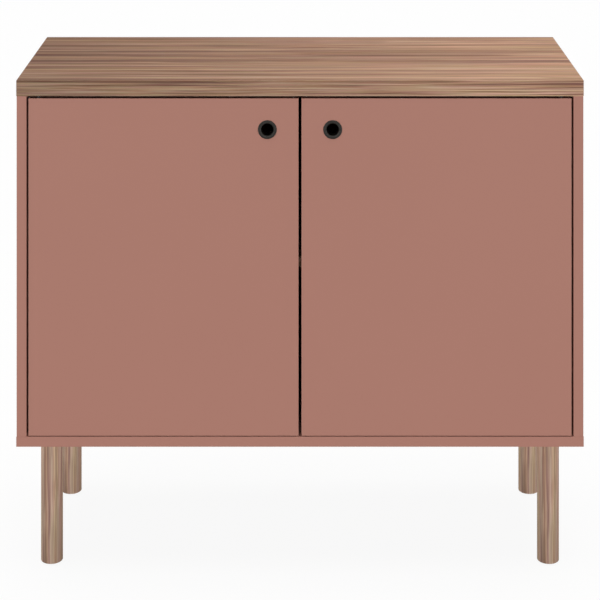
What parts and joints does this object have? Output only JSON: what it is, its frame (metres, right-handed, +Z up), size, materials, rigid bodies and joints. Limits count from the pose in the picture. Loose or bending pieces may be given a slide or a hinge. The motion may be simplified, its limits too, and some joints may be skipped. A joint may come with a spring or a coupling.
{
  "type": "accent cabinet",
  "caption": "Low cabinet with a wood-finish top on round wooden legs and inset swing doors with ring-lined finger holes, over a shelf.",
  "frame": {"origin": "on the floor under the middle of the cabinet's footprint", "axes": "+X to the right as the doors are faced, +Y to the back, +Z up; the doors face -Y"},
  "size_m": [0.9, 0.35, 0.785],
  "materials": {
    "walnut_finish": "matt walnut-look wood grain, grain along the length",
    "rose_paint": "matt dusty rose lacquer on board",
    "back_board": "thin brown hardboard, smooth outer face",
    "zinc_steel": "bright zinc plate",
    "dark_metal": "satin dark grey metal",
    "black_steel": "blackened steel",
    "brown_nylon": "brown moulded nylon",
    "beech": "plain beech",
    "ferrite": "bare ferrite magnet",
    "black_plastic": "black moulded plastic"
  },
  "bodies": {
    "cabinet": {"back_panel": "back_board", "back_panel_nails": "zinc_steel", "base_panel": "rose_paint", "base_screws": "zinc_steel", "cam_bolts": "zinc_steel", "cam_discs": "zinc_steel", "catch_screws": "zinc_steel", "front_left_glide": "black_plastic", "front_left_leg": "walnut_finish", "front_left_leg_plate": "zinc_steel", "front_right_glide": "black_plastic", "front_right_leg": "walnut_finish", "front_right_leg_plate": "zinc_steel", "left_bottom_bush": "brown_nylon", "left_catch_case": "brown_nylon", "left_catch_magnet": "ferrite", "left_side_panel": "rose_paint", "left_top_bush": "brown_nylon", "leg_bolts": "zinc_steel", "leg_plate_screws": "zinc_steel", "rear_left_glide": "black_plastic", "rear_left_leg": "walnut_finish", "rear_left_leg_plate": "zinc_steel", "rear_right_glide": "black_plastic", "rear_right_leg": "walnut_finish", "rear_right_leg_plate": "zinc_steel", "right_bottom_bush": "brown_nylon", "right_catch_case": "brown_nylon", "right_catch_magnet": "ferrite", "right_side_panel": "rose_paint", "right_top_bush": "brown_nylon", "shelf": "walnut_finish", "shelf_supports": "zinc_steel", "side_dowels": "beech", "top_panel": "walnut_finish"},
    "left_door": {"left_door_panel": "rose_paint", "left_finger_ring": "dark_metal", "left_ring_back": "dark_metal", "left_top_pin": "black_steel", "left_bottom_pin": "black_steel", "left_strike_plate": "zinc_steel", "left_strike_screws": "zinc_steel"},
    "right_door": {"right_door_panel": "rose_paint", "right_finger_ring": "dark_metal", "right_ring_back": "dark_metal", "right_top_pin": "black_steel", "right_bottom_pin": "black_steel", "right_strike_plate": "zinc_steel", "right_strike_screws": "zinc_steel"}
  },
  "joints": [
    {"name": "left_door_swing", "type": "hinge", "parent": "cabinet", "child": "left_door", "pos_m": [-0.4158, -0.166, 0.4888], "axis": [0, 0, -1], "range_deg": [0, 110]},
    {"name": "right_door_swing", "type": "hinge", "parent": "cabinet", "child": "right_door", "pos_m": [0.4158, -0.166, 0.4888], "axis": [0, 0, 1], "range_deg": [0, 110]}
  ]
}
